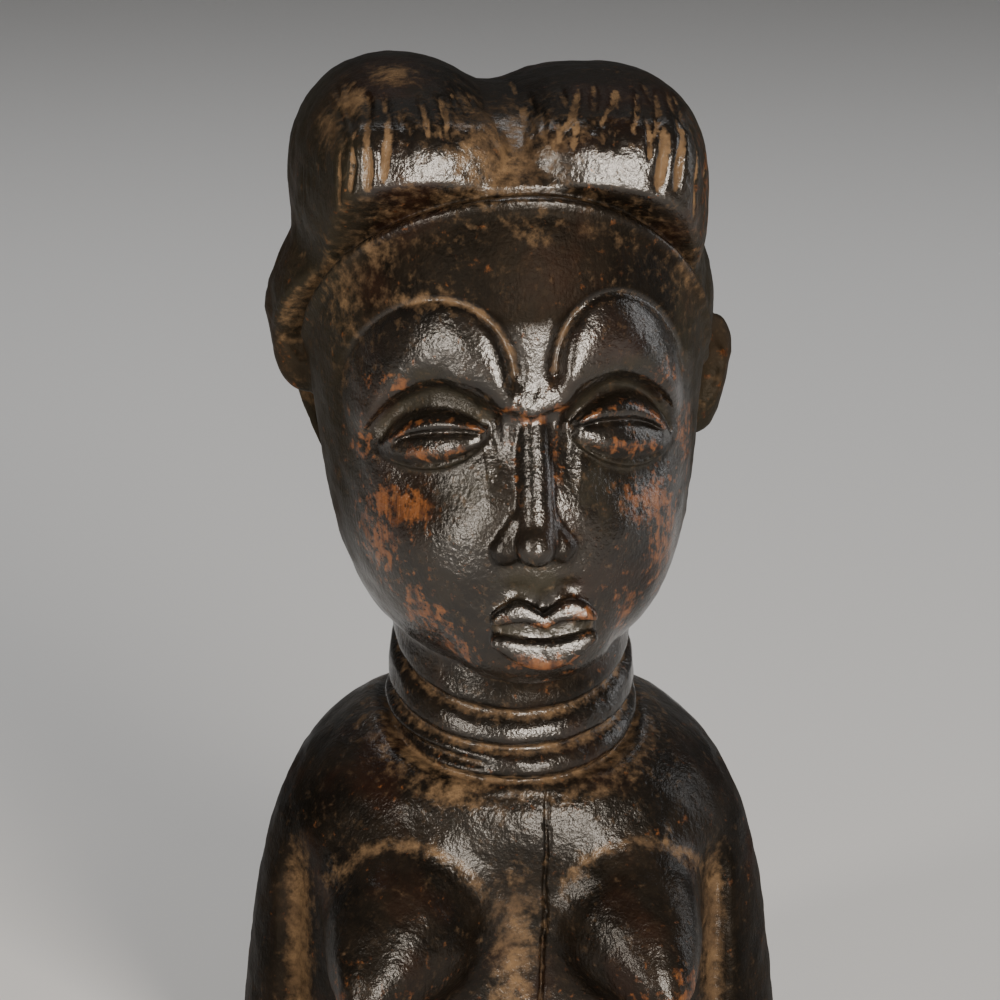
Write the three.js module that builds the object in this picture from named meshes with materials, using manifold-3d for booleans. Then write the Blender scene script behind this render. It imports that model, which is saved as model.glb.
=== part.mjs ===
import * as THREE from 'three';
import { mergeVertices } from 'three/addons/utils/BufferGeometryUtils.js';
import Module from 'manifold-3d';

// Carved wooden female figure, close-up: head, ringed neck, shoulders and breasts, cut flat below.
// Millimetres, +Z up, the face looks along -Y. The underside lies in z = 0.

const wasm = await Module();
wasm.setup();
const { Manifold, Mesh } = wasm;

// Driving sizes of the figure
const HEAD = {
  x: -0.6, z: 141, down: 55, up: 51.5, halfWidth: 36.7, front: 41.5, back: 44,
  chinPull: 14, cheekPull: 2.2, turn: 3.2, faceRoll: 1.8, faceZ: 122,
};
const HAIRLINE = {
  z: 148.4, fall: 0.74, sideTilt: 3, ridge: 1.3, ridgeHeight: 2.8, behindEarY: 13, napeZ: 106,
};
const CRESTS = [
  { x: -19.8, halfWidth: 20.2, top: 198.2, roundness: 2.2 },
  { x: 16, halfWidth: 20.8, top: 195.6, roundness: 2.7 },
];
const EARS = [
  { side: -1, top: 158.5, low: 134, reach: 44.2 },
  { side: 1, top: 148, low: 124.5, reach: 44.6 },
];
const BROW = {
  rise: 2.2, rimX: 17.5, rimZ: 128.5, rim: [12.4, 15], rimLean: 0.18,
  lineX: [17.6, 17.4], lineHalf: [14.4, 12.6], lineZ: 141, lineHeight: 16.9, lineLean: 0.11,
};
const EYES = [
  { side: -1, x: 16.9, z: 131.5, halfWidth: 10, up: 6.2, down: 4.4, slant: 0.21 },
  { side: 1, x: 16.9, z: 131, halfWidth: 10.8, up: 8.2, down: 5.2, slant: 0.24 },
];
const EYE = { y: -30.6, depth: 8, outward: 24 };
const NOSE = { x: -0.6, rootY: -38, rootZ: 138, tipY: -48, tipZ: 112.2, halfWidth: 6.8 };
const MOUTH = { x: 0.8, y: -38, z: 97.4, halfWidth: 9.6, halfHeight: 6.4, band: -43, lipDepth: 7.4 };
const NECK = { halfWidth: [25.6, 22.4], halfDepth: [27, 24.5], z: [60, 90], grooveDepth: 1.7 };
const NECK_GROOVES = [
  { z: 72.2, slope: 0.27, sideRise: 3 },
  { z: 75.4, slope: 0.27 },
  { z: 80.4, slope: 0.36 },
  { z: 89.6, slope: 0.47 },
];
const TORSO = {
  x: 0.4, midZ: 10, top: 78.5, halfWidth: 51.2, narrowing: 0.095, halfDepth: 25.5, collar: 18.7, lean: 0.25,
};
const BREASTS = [
  { side: -1, root: [15.6, -9, 45], tip: [31.4, -43.5, 25], radius: 15.8 },
  { side: 1, root: [17.4, -9, 45], tip: [27.6, -43, 25.5], radius: 15.2 },
];
const BREAST_TAPER = [1, 1, 0.97, 0.88, 0.74, 0.55, 0.32, 0];
const FURROWS = [
  { x: -40.2, frontY: -15.4, backY: 23.8 },
  { x: 37.2, frontY: -17.6, backY: 25.8 },
];
const FURROW = { halfWidth: 2.4, halfDepth: 4.4, reach: 46 };

// Small helpers for soft shapes
const clamp = (a, lo = 0, hi = 1) => Math.min(Math.max(a, lo), hi);
const mix = (a, b, t) => a + (b - a) * t;
const rad = (degrees) => (degrees * Math.PI) / 180;
const bump = (distance, width) => Math.exp(-((distance / width) ** 2));
const spread = (count, from, to) => Array.from({ length: count }, (_, i) => mix(from, to, i / count));

function step(a, lo, hi) {
  const t = clamp((a - lo) / (hi - lo));
  return t * t * (3 - 2 * t);
}

// Soft union of two distances, blended over k millimetres
function join(a, b, k) {
  const h = clamp(0.5 + (0.5 * (b - a)) / k);
  return mix(b, a, h) - k * h * (1 - h);
}

function ellipsoid([x, y, z], [cx, cy, cz], [rx, ry, rz]) {
  const q = [(x - cx) / rx, (y - cy) / ry, (z - cz) / rz];
  const inner = Math.hypot(...q) + 1e-6;
  const outer = Math.hypot(q[0] / rx, q[1] / ry, q[2] / rz) + 1e-6;
  return (inner * (inner - 1)) / outer;
}

// A block with rounded faces: the larger the roundness, the squarer it is
function block([x, y, z], [cx, cy, cz], [rx, ry, rz], roundness, scale) {
  const q = Math.abs((x - cx) / rx) ** roundness + Math.abs((y - cy) / ry) ** roundness
    + Math.abs((z - cz) / rz) ** roundness;
  return (q ** (1 / roundness) - 1) * scale;
}

// Distance to a round rod between two points
function rod([x, y, z], [ax, ay, az], [bx, by, bz], radius) {
  const way = [bx - ax, by - ay, bz - az];
  const offset = [x - ax, y - ay, z - az];
  const dot = (m, n) => m[0] * n[0] + m[1] * n[1] + m[2] * n[2];
  const t = clamp(dot(offset, way) / dot(way, way));
  return Math.hypot(...offset.map((value, i) => value - t * way[i])) - radius;
}

// Distance to an ellipse drawn on the face, negative inside it
function oval(u, w, cu, cw, a, b) {
  const q = Math.hypot((u - cu) / a, (w - cw) / b) + 1e-6;
  const g = Math.hypot((u - cu) / a ** 2, (w - cw) / b ** 2) + 1e-6;
  return (q * (q - 1)) / g;
}

// The egg of the head, narrow and pulled forward toward the chin
function skull([x, y, z]) {
  const half = z > HEAD.z ? HEAD.up : HEAD.down;
  const s = (z - HEAD.z) / half;
  const low = clamp(-s);
  const high = clamp(s);
  const width = HEAD.halfWidth - HEAD.cheekPull * Math.sin(Math.PI * low) + 1.5 * high;
  const dy = y + HEAD.chinPull * low ** 1.5;
  const depth = dy < 0 ? HEAD.front + 1.2 * high : HEAD.back;
  const value = (x / width) ** 2 + (dy / depth) ** 2 + Math.abs(s) ** 3.2 - 1;
  const slope = 2 * Math.hypot(x / width ** 2, dy / depth ** 2, (1.6 * Math.abs(s) ** 2.2) / half) + 1e-4;
  return value / slope;
}

// The face without its separate features: chin, brow rolls with a line incised above, and the orbits
function face(p) {
  const tilt = rad(HEAD.faceRoll);
  const dz = p[2] - HEAD.faceZ;
  const x = Math.cos(tilt) * p[0] + Math.sin(tilt) * dz;
  const z = Math.cos(tilt) * dz - Math.sin(tilt) * p[0] + HEAD.faceZ;
  const y = p[1];
  const ax = Math.abs(x);
  const front = step(-y, 4, 18);
  let d = skull(p);
  d = join(d, ellipsoid([x, y, z], [0, -31, 92.2], [11.5, 7.2, 5.2]), 7);
  d = join(d, ellipsoid([x, y, z], [0, -32, 98.5], [13, 8, 9.5]), 5);
  d = join(d, rod([ax, y, z], [9.5, -37.6, 143.6], [0, -40, 139.4], 2.7), 2.4);
  const rim = oval(ax + BROW.rimLean * (z - BROW.rimZ), z, BROW.rimX, BROW.rimZ, ...BROW.rim);
  const side = x < 0 ? 0 : 1;
  const lineAt = ax + BROW.lineLean * (z - BROW.lineZ);
  const line = oval(lineAt, z, BROW.lineX[side], BROW.lineZ, BROW.lineHalf[side], BROW.lineHeight);
  const t = clamp(rim / Math.max(rim - line, 0.5));
  const arched = Math.max(Math.sin(Math.PI * t ** 0.8), 0) ** 0.8;
  const roll = arched * step(z, 124, 135) * step(rim - line, 0.5, 6);
  const incised = 1.2 * bump(line, 1.7) * step(z, 139, 146);
  const sunk = 0.8 + 2.4 * step(z, 118, 136);
  const hollow = sunk * step(-rim, -1.5, 2.5) * step(z, 111, 122) * step(32 - ax, 0, 12);
  return d + (hollow + incised - BROW.rise * roll) * front;
}

// Hair over the crown, the sides and the nape, with a crest from front to back on each side of a valley
function hairMass(p) {
  let d = block(p, [0, 8, 156], [34, 35.5, 36.6], 2.4, 30);
  for (const crest of CRESTS) {
    const centre = [crest.x, 3.5, crest.top - 22.5];
    d = join(d, block(p, centre, [crest.halfWidth, 38.5, 22.5], crest.roundness, 22), 2.5);
  }
  d = join(d, ellipsoid(p, [-1.6, 7, 152], [41.6, 36.5, 31]), 3);
  return join(d, ellipsoid(p, [0, 12, 134], [36, 33.5, 31]), 9);
}

function torso([x, y, z]) {
  const ax = Math.abs(x - TORSO.x);
  const half = TORSO.halfWidth - TORSO.narrowing * (z - TORSO.midZ);
  const level = z - TORSO.lean * (y - 2) * step(z, 35, 70);
  const t = Math.max(level - TORSO.midZ, 0) / (TORSO.top - TORSO.midZ);
  const middle = 1.5 + 4.5 * clamp(ax / 50) ** 2;
  const depth = TORSO.halfDepth + TORSO.collar * t ** 3;
  const q = (ax / half) ** 2.8 + (Math.abs(y - middle) / depth) ** 2.2 + t ** 4.4;
  return (q ** (1 / 2.6) - 1) * 26;
}

function merge(geometry) {
  geometry.deleteAttribute('normal');
  geometry.deleteAttribute('uv');
  return mergeVertices(geometry, 1e-4);
}

function toManifold(geometry) {
  const merged = merge(geometry);
  return new Manifold(new Mesh({
    numProp: 3,
    vertProperties: Float32Array.from(merged.attributes.position.array),
    triVerts: Uint32Array.from(merged.index.array),
  }));
}

function toGeometry(manifold) {
  const mesh = manifold.getMesh();
  const geometry = new THREE.BufferGeometry();
  geometry.setAttribute('position', new THREE.BufferAttribute(mesh.vertProperties, 3));
  geometry.setIndex(new THREE.BufferAttribute(mesh.triVerts, 1));
  geometry.computeVertexNormals();
  return geometry;
}

// Follows one ray from outside until it meets the surface of a form
function surfacePoint(form, { y, z, lift }, angle) {
  const level = Math.cos(rad(lift));
  const way = [level * Math.sin(angle), -level * Math.cos(angle), Math.sin(rad(lift))];
  const at = (r) => [r * way[0], y + r * way[1], z + r * way[2]];
  let outside = 80;
  let inside = outside;
  while (form(at(inside)) > 0 && inside > 0.5) {
    outside = inside;
    inside -= clamp(form(at(inside)) * 0.4, 0.15, 6);
  }
  for (let i = 0; i < 12; i += 1) {
    const middle = (outside + inside) / 2;
    if (form(at(middle)) > 0) outside = middle;
    else inside = middle;
  }
  return at(inside);
}

// A turned blank whose rings and columns are laid onto a form; rings[0] and the last ring are poles
function carvedBlank(form, rings, columns, bunching) {
  const profile = rings.map((_, i) => new THREE.Vector2(i === 0 || i === rings.length - 1 ? 0 : 1, i));
  const geometry = new THREE.LatheGeometry(profile, columns);
  const { position } = geometry.attributes;
  for (let i = 0; i < position.count; i += 1) {
    const column = Math.floor(i / rings.length) % columns;
    const ring = rings[i % rings.length];
    const pole = profile[i % rings.length].x === 0;
    const u = (2 * column) / columns - 1;
    const angle = pole ? 0 : Math.PI * (bunching * u + (1 - bunching) * u ** 5);
    const point = ring.flat ? [0, ring.y, ring.z] : surfacePoint(form, ring, angle);
    position.setXYZ(i, ...point);
  }
  return toManifold(geometry);
}

// Rays fan out downward at the chin, run level through the face and fan out upward over the crown
function headRings() {
  const centre = (z) => mix(-12, 2, step(z, 88, 150));
  const chin = [-90, ...spread(5, -68, 0)].map((lift) => ({ y: centre(103), z: 103, lift }));
  const level = [...spread(6, 103, 120), ...spread(19, 120, 159)].map((z) => ({ y: centre(z), z, lift: 0 }));
  const crown = [...spread(7, 0, 44), ...spread(2, 44, 90), 90].map((lift) => ({ y: 2, z: 159, lift }));
  return [...chin, ...level, ...crown];
}

function ball(radii, centre, columns = 12, rows = 8) {
  const geometry = new THREE.SphereGeometry(1, columns, rows).rotateX(Math.PI / 2);
  geometry.scale(...radii);
  geometry.translate(...centre);
  return toManifold(geometry);
}

function bar(size, centre, tilt = 0) {
  const geometry = new THREE.BoxGeometry(...size);
  geometry.rotateX(tilt);
  geometry.translate(...centre);
  return toManifold(geometry);
}

// Hair is kept above the hairline, and behind the ears down to the nape
function hair() {
  const lifts = [-90, ...spread(7, -70, 10), ...spread(11, 10, 90), 90];
  const rings = lifts.map((lift) => ({ y: 6, z: 150, lift }));
  const tilt = -Math.atan(HAIRLINE.fall);
  const above = bar([120, 200, 100], [0, -52 * Math.sin(tilt), HAIRLINE.z + 2.4 + 52 * Math.cos(tilt)], tilt);
  const behind = bar([120, 100, 120], [0, HAIRLINE.behindEarY + 50, HAIRLINE.napeZ + 60]);
  const kept = above.rotate([0, HAIRLINE.sideTilt, 0]).add(behind);
  return carvedBlank(hairMass, rings, 28, 0.9).intersect(kept);
}

// A thin ridge follows the hairline from ear to ear
function hairlineRidge() {
  const raised = (p) => skull(p) - HAIRLINE.ridge;
  const rings = [-90, ...spread(10, -20, 50), 90].map((lift) => ({ y: 0, z: 155, lift }));
  const tilt = -Math.atan(HAIRLINE.fall);
  const slab = bar([120, 120, HAIRLINE.ridgeHeight], [0, -48, HAIRLINE.z + 48 * HAIRLINE.fall], tilt);
  return carvedBlank(raised, rings, 40, 0.7).intersect(slab.rotate([0, HAIRLINE.sideTilt, 0]));
}

// An ear is a tapered flap that leans forward from the head, hollowed at its front
function ear({ side, top, low, reach }) {
  const half = (top - low) / 2;
  const middle = (top + low) / 2;
  const flap = new THREE.SphereGeometry(1, 12, 10).rotateX(Math.PI / 2);
  const { position } = flap.attributes;
  for (let i = 0; i < position.count; i += 1) {
    const z = position.getZ(i);
    const narrow = 1 - 0.35 * step(-z, -0.2, 1);
    const x = reach - 6.5 - 2.4 * step(-z, 0, 1) + position.getX(i) * 6.5 * narrow;
    const y = 8.6 + position.getY(i) * 3 + 0.5 * (x - reach + 6) - 0.14 * z * half;
    position.setXYZ(i, x, y, middle + z * half);
  }
  const solid = toManifold(flap).subtract(ball([3, 2.4, half * 0.6], [reach - 5.2, 6, middle + 1.5], 8, 6));
  return side < 0 ? solid.mirror([1, 0, 0]) : solid;
}

// The eye is an almond dome, opened between a broad upper lid and a thin lower one
function eye({ side, x: eyeX, z: eyeZ, halfWidth, up, down, slant }) {
  const { depth } = EYE;
  const lids = new THREE.SphereGeometry(1, 14, 8).rotateX(Math.PI / 2);
  const { position } = lids.attributes;
  for (let i = 0; i < position.count; i += 1) {
    const [x, y, z] = [position.getX(i), position.getY(i), position.getZ(i)];
    const height = z * (z > 0 ? up : down) * (1 - 0.25 * x * x);
    position.setXYZ(i, x * halfWidth, y * depth, height - slant * side * x * halfWidth);
  }
  const opening = ball([halfWidth * 0.7, depth, 2.4], [0, -depth, -0.8], 12, 6);
  const eyeball = ball([halfWidth * 0.72, depth - 0.7, 3], [0, 0, -0.8], 12, 6);
  const solid = toManifold(lids).subtract(opening).add(eyeball);
  return solid.rotate([0, 0, side * EYE.outward]).translate([side * eyeX, EYE.y, eyeZ]);
}

// A long wedge with a round ridge, and a small wing on each side of its tip
function nose() {
  const { x, rootY, rootZ, tipY, tipZ, halfWidth } = NOSE;
  const bridge = Manifold.hull([
    ball([2, 2.4, 2], [0, rootY + 0.6, rootZ], 10, 6),
    ball([3.2, 4, 3], [0, tipY + 4, tipZ + 1.6], 10, 6),
    ball([3.2, 8, 2], [0, tipY + 10, tipZ + 1.4], 10, 6),
  ]);
  const wing = ball([2.8, 4.8, 3.4], [halfWidth - 2.8, tipY + 6, tipZ + 1.6], 10, 6);
  return Manifold.union([bridge, wing, wing.mirror([1, 0, 0])]).translate([x, 0, 0]);
}

// Two lips stand on one raised block: the upper one dips to a notch, the lower one is a full crescent
function lips([x, y, z]) {
  const ax = Math.abs(x);
  const dz = z - MOUTH.z;
  const lip = (middle, half, squareness) => {
    const q = (ax / (MOUTH.halfWidth + 0.2)) ** 5 + Math.abs((dz - middle) / half) ** squareness
      + Math.abs((y - MOUTH.y) / MOUTH.lipDepth) ** squareness;
    return (q ** (1 / squareness) - 1) * half;
  };
  const size = [MOUTH.halfWidth, MOUTH.y - MOUTH.band, MOUTH.halfHeight];
  const band = block([x, y, z], [0, MOUTH.y, MOUTH.z - 0.3], size, 4, 6);
  const rise = 1.9 * Math.sin((clamp(ax / 4.7) * Math.PI) / 2) - 0.06 * Math.max(ax - 4.7, 0) ** 2;
  const upper = lip(2.6 + rise, 1.3 + 0.9 * bump(ax - 4.9, 3), 2);
  const lower = lip(0.037 * x * x - 4, Math.max(2.9 - 0.022 * x * x, 1), 2.3);
  return Math.min(band, upper, lower);
}

function mouth() {
  const rings = [-90, ...spread(13, -62, 74), 90].map((lift) => ({ y: MOUTH.y + 3, z: MOUTH.z, lift }));
  return carvedBlank(lips, rings, 18, 0.9).translate([MOUTH.x, 0, 0]);
}

function faceFeatures() {
  const parts = [nose(), mouth(), ...EYES.map(eye)];
  return Manifold.union(parts).translate([0, 0, -HEAD.faceZ]).rotate([0, HEAD.faceRoll, 0])
    .translate([0, 0, HEAD.faceZ]);
}

function head() {
  const blank = carvedBlank(face, headRings(), 46, 0.42);
  const carved = Manifold.union([blank, faceFeatures(), hair(), hairlineRidge(), ...EARS.map(ear)]);
  return carved.rotate([0, 0, HEAD.turn]).translate([HEAD.x, 0, 0]);
}

// Each row of the neck is an ellipse in a slanting plane; grooves part the soft rolls
function neckRow({ z, slope, sideRise = 0 }, inset, columns) {
  const t = clamp((z - NECK.z[0]) / (NECK.z[1] - NECK.z[0]));
  return Array.from({ length: columns }, (_, i) => {
    const angle = (2 * Math.PI * i) / columns;
    const x = 0.3 + (mix(...NECK.halfWidth, t) - inset) * Math.sin(angle);
    const y = mix(1.5, 0, t) - (mix(...NECK.halfDepth, t) - inset) * Math.cos(angle);
    return [x, y, z + slope * y + sideRise * Math.sin(angle) ** 4];
  });
}

function turnedRows(rows, columns) {
  const profile = rows.map((row, i) => new THREE.Vector2(row.length === 1 ? 0 : 1, i));
  const geometry = new THREE.LatheGeometry(profile, columns);
  const { position } = geometry.attributes;
  for (let i = 0; i < position.count; i += 1) {
    const row = rows[i % rows.length];
    position.setXYZ(i, ...row[Math.floor(i / rows.length) % columns % row.length]);
  }
  return toManifold(geometry);
}

function neck() {
  const columns = 26;
  const base = NECK_GROOVES[0];
  const rows = [[[0, 0, base.z - 12]], neckRow({ ...base, z: base.z - 12 }, 7, columns)];
  NECK_GROOVES.forEach((groove, i) => {
    const next = NECK_GROOVES[i + 1] ?? { ...groove, z: groove.z + 7 };
    const between = {
      z: (groove.z + next.z) / 2,
      slope: (groove.slope + next.slope) / 2,
      sideRise: (groove.sideRise ?? 0) / 2,
    };
    rows.push(neckRow({ ...groove, z: groove.z - 1.2 }, i === 0 ? 2.4 : 0.35, columns));
    rows.push(neckRow(groove, NECK.grooveDepth, columns));
    rows.push(neckRow({ ...groove, z: groove.z + 1.2 }, 0.35, columns));
    rows.push(neckRow(between, -0.2, columns));
  });
  rows.push(neckRow({ z: 106, slope: 0.5 }, 0, columns), [[0, 0, 106]]);
  return turnedRows(rows, columns);
}

// Clears the shoulders above the lowest groove, so that the neck rises out of them
function neckClearance() {
  const base = { ...NECK_GROOVES[0], z: NECK_GROOVES[0].z - 0.4 };
  const columns = 26;
  const above = { ...base, z: base.z + 24 };
  const walls = [neckRow(base, -9, columns), neckRow(above, -12, columns)];
  return turnedRows([[[0, 0, base.z]], ...walls, [[0, 0, above.z]]], columns);
}

function breast({ side, root, tip, radius }) {
  const start = new THREE.Vector3(...root);
  const end = new THREE.Vector3(...tip);
  const length = start.distanceTo(end);
  const steps = BREAST_TAPER.length - 1;
  const along = (i) => length * (i / steps) ** 0.86;
  const profile = BREAST_TAPER.map((share, i) => new THREE.Vector2(share * radius, along(i)));
  const cone = new THREE.LatheGeometry([new THREE.Vector2(0, 0), ...profile], 16);
  const up = new THREE.Vector3(0, 1, 0);
  const aim = new THREE.Quaternion().setFromUnitVectors(up, end.sub(start).normalize());
  cone.applyQuaternion(aim);
  cone.translate(...root);
  const solid = toManifold(cone);
  return side < 0 ? solid.mirror([1, 0, 0]) : solid;
}

function trunk() {
  const flat = { y: 2, z: 0, flat: true };
  const level = spread(7, 0, 56).map((z) => ({ y: 2, z, lift: 0 }));
  const shoulders = [...spread(8, 0, 90), 90].map((lift) => ({ y: 2, z: 56, lift }));
  const body = carvedBlank(torso, [flat, ...level, ...shoulders], 36, 0.95);
  const furrows = FURROWS.flatMap(({ x, frontY, backY }) => [frontY, backY].map((y) => ball(
    [FURROW.halfWidth, FURROW.halfDepth, FURROW.reach],
    [x, y, 5],
    8,
    12,
  )));
  const spine = ball([3.4, 3.2, 52], [TORSO.x, 28.6, 10], 8, 12);
  return Manifold.union([body.subtract(Manifold.union([...furrows, spine])), ...BREASTS.map(breast)]);
}

const wood = new THREE.MeshStandardMaterial({ color: 0x2a1a12, roughness: 0.42, metalness: 0 });

const carving = trunk().subtract(neckClearance()).add(neck()).add(head());
const figure = new THREE.Mesh(toGeometry(carving), wood);
figure.name = 'figure';

const model = new THREE.Group();
model.add(figure);

export default model;
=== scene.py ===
"""Carved wooden female figure, close-up: head, ringed neck, shoulders and breasts, cut flat below.

The form is carved in the figure's own millimetres, +Z up, face along -Y, and set on the CAD model's height.
"""
import math
from types import SimpleNamespace

import bpy
import numpy as np
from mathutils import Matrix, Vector


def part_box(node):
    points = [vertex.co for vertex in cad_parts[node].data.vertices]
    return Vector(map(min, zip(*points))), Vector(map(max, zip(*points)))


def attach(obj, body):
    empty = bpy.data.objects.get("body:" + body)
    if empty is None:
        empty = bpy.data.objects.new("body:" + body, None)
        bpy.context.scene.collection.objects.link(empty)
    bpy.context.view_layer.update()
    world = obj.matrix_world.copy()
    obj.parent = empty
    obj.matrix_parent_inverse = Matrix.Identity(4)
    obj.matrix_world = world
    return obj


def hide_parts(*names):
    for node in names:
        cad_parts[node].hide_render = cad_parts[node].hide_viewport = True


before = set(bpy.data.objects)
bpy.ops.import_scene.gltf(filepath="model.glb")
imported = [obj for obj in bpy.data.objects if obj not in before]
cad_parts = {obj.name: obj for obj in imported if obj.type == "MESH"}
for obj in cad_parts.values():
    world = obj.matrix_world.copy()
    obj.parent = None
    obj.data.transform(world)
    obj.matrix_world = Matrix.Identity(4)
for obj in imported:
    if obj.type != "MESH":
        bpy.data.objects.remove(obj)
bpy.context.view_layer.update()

# Sizes of the figure, in millimetres; of each pair, the one on the -X side comes first
FIGURE_HEIGHT = 198.2
HEAD = dict(x=-0.6, z=141, down=55, up=51.5, half_width=36.7, front=41.5, back=44, chin=14, cheek=2.2)
HEAD_TURN = 3.2
FACE_ROLL = 1.8
FACE_Z = 122
HAIRLINE = dict(z=148.4, fall=0.74, right_dip=0.005, square_to_line=0.804, behind_ear=13, nape=106)
CRESTS = (
    dict(x=-19.8, half_width=20.2, top=198.2, roundness=2.2),
    dict(x=16, half_width=20.8, top=195.6, roundness=2.7),
)
HAIR = dict(crown=((0, 8, 156), (34, 35.5, 36.6)), sides=((-1.6, 7, 152), (41.6, 36.5, 31)),
            nape=((0, 12, 134), (36, 33.5, 31)), crest_half_depth=38.5, crest_half_height=22.5,
            front_place=(-22.4, 178), front_reach=(16.5, 12, 12.5))
EARS = (
    dict(side=-1, top=158.5, low=134, reach=44.2),
    dict(side=1, top=148, low=124.5, reach=44.6),
)
EAR_FLAP = dict(y=8.6, half_width=6.2, thick=3.2, forward=0.5, back_lean=0.14)
EAR_HOLLOW = dict(centre=(1.2, -3.2, 1.5), reach=(3.3, 2.6), share_of_height=0.62)
BROW = dict(rim_x=17.5, rim_z=128.5, rim=(12.4, 15), rim_lean=0.18, rise=2.2)
BROW_FOLD = dict(outer=(11.5, -37.9, 144.2), middle=(0, -40.2, 138.3), radii=(2.5, 1.9), blend=2.8,
                 sunk=1.7, sunk_below=137.2)
BROW_LINES = dict(left=(17.6, 14.4), right=(17.4, 12.6), z=141, height=16.9, lean=0.11)
EYES = (
    dict(x=16.9, z=131.5, half_width=9.8, up=6.2, down=4.2, slant=0.21),
    dict(x=16.9, z=131, half_width=10.6, up=8.2, down=5, slant=0.24),
)
EYE_BULGE = 2.4
NOSE = dict(root=(0.4, -41.2, 137), tip=(-0.4, -48.2, 115), half_width=(4.1, 3.3), deep=(6.4, 4.6),
            roundness=2.3, middle_z=126, half_length=11.5)
NOSE_TIP = dict(ball=(-0.7, -45.4, 113.9), ball_reach=(3.6, 3.9, 4.1), base=(-0.8, -41.2, 113.6),
                wing_top=(2.6, -1.6, 4.2), wing_low=(4.9, -0.9, -0.6), wing_radii=(2.3, 3.2), under=3.7)
CHIN = dict(centre=(0, -31, 92.2), reach=(11.5, 7.2, 5.2), blend=7)
MUZZLE = dict(centre=(0, -32, 98.5), reach=(13, 8, 9.5), blend=5)
MOUTH = dict(x=0.8, y=-38, z=97.4, half_width=9.6, half_height=5.6, band=-43, lip_depth=2.4)
NECK = dict(x=0.3, y=(1.5, 0), half_width=(25.6, 22.4), half_depth=(27, 24.5), z=(60, 90), scale=24,
            middle_z=88, half_length=24, groove=1.7, groove_width=1.15)
NECK_GROOVES = ((72.2, 0.27), (75.4, 0.27), (80.4, 0.36), (89.6, 0.47))
NECK_BASE_SIDE_RISE = 3
TORSO = dict(x=0.4, mid_z=10, top=78.5, half_width=51.2, narrowing=0.095, half_depth=25.5, collar=18.7,
             lean=0.25)
BREASTS = (
    dict(side=-1, root=(15.6, -9, 45), tip=(31.4, -43.5, 25), radius=15.8),
    dict(side=1, root=(17.4, -9, 45), tip=(27.6, -43, 25.5), radius=15.2),
)
BREAST_TAPER = (1, 1, 0.97, 0.88, 0.74, 0.55, 0.32, 0)
FURROW = dict(left=-40.2, right=37.4, front=2.2, back=2.0, top=56, width=3.0)
SPINE = dict(deep=1.4, width=3.2, top=62)

# Gouge strokes on the fronts of the hair lobes: x and z of the top end, x and z of the low end, and width
HAIR_STROKES = (
    (-33.9, 183, -34.1, 174.5, 0.7),
    (-31.2, 186.5, -32.3, 177.5, 0.77),
    (-28.9, 187.2, -29.4, 177.4, 1.18),
    (-25.4, 188.6, -26.4, 180, 1.02),
    (-21.8, 189, -22, 185.8, 0.7),
    (-18.5, 190.3, -18.3, 187, 0.77),
    (-14.8, 192.4, -14.6, 188.6, 0.92),
    (-12.4, 192.8, -12.3, 190, 0.7),
    (-8.6, 192, -7.6, 189.2, 0.72),
    (10.4, 192.6, 5.9, 186.2, 0.98),
    (8.9, 188.8, 8, 184.6, 0.77),
    (19.6, 194.6, 13.7, 188.8, 0.82),
    (21.4, 192.6, 19.3, 188, 0.7),
    (25.2, 192, 23, 186.8, 0.77),
    (21.8, 187.2, 21.7, 182.8, 0.7),
    (24.8, 186.4, 23.5, 178, 1.33),
    (28.2, 186, 26.9, 177.8, 1.18),
    (29.7, 191, 28.9, 188.4, 0.72),
    (31, 183.4, 30.5, 172.6, 0.7),
    (33.8, 181.6, 33.3, 171.2, 0.7),
)
SHORT_CUTS = dict(seed=11, count=34, z=(187, 194.5), length=(2, 4))
CRACK = dict(x=3.6, lean=0.026, top=66, deep=(1.9, 0.9), width=(0.42, 0.26))
COMB = dict(pitch=1.9, deep=0.22)

# Lattice stretches for the carving (start, end, cell) and the most triangles that the piece keeps
LATTICE = dict(
    x=((-57, -37, 0.9), (-37, 2.4, 0.5), (2.4, 6.6, 0.35), (6.6, 37, 0.5), (37, 57, 0.9)),
    y=((-55, -12, 0.5), (-12, 52, 1.1)),
    z=((-1.2, 84, 0.8), (84, 204, 0.5)),
)
MOST_TRIANGLES = 196000

# Camera: degrees round and above the figure, metres away, the photograph's scale, and the pixel column
# and row where the middle of the figure's foot would lie, below the photograph's edge
CAMERA = dict(turn=-4, lift=10, distance=1.1, millimetres_a_pixel=0.191, foot_column=509, foot_row=1090)
PHOTO_WIDTH = 1000
SENSOR_WIDTH = 36

# Studio, in metres and watts: name, place, target, width, height, power and colour of each light
STUDIO_TARGET = (0, -0.02, 0.12)
WARM = (1.0, 0.9, 0.78)
WHITE = (1.0, 1.0, 1.0)
LIGHTS = (
    ("key_box", (0.27, -1.04, 0.27), STUDIO_TARGET, 0.26, 0.46, 23, WARM),
    ("left_strip", (-0.6, -0.62, 0.2), STUDIO_TARGET, 0.12, 0.38, 6, WARM),
    ("right_box", (1.0, 0.2, 0.4), STUDIO_TARGET, 0.2, 0.7, 2, WHITE),
    ("backdrop_box", (0, 0.7, 1.6), (0, 1.3, 0), 1.4, 0.4, 14, WHITE),
)
FLOOR = dict(side=4.5, flat=3.4, bend=0.8, top=4.0, grey=0.72, rough=0.9)
AIR = dict(grey=0.8, strength=0.08)

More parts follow.
